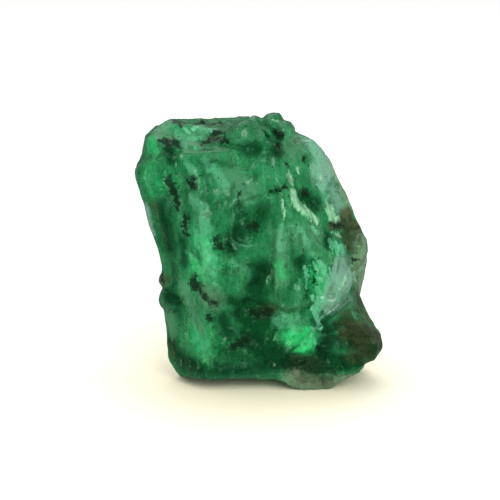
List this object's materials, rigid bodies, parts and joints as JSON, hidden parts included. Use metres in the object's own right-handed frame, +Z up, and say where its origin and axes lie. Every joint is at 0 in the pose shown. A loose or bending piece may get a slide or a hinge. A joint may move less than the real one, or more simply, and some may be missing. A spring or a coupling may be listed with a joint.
{
  "type": "raw emerald crystal",
  "caption": "Rough emerald crystal, a translucent green broken prism with lobed top, flaky right side and stained low horn, standing on its flat base.",
  "frame": {"origin": "middle of the stone's bounding box, on the surface it stands on", "axes": "+Z up, along the stone's length; the broad face with the brightest green looks along -Y; X across that face"},
  "size_m": [0.015, 0.009, 0.0164],
  "materials": {
    "emerald": "glossy, uneven broken surface"
  },
  "bodies": {
    "root": {"emerald_crystal": "emerald"}
  },
  "joints": []
}
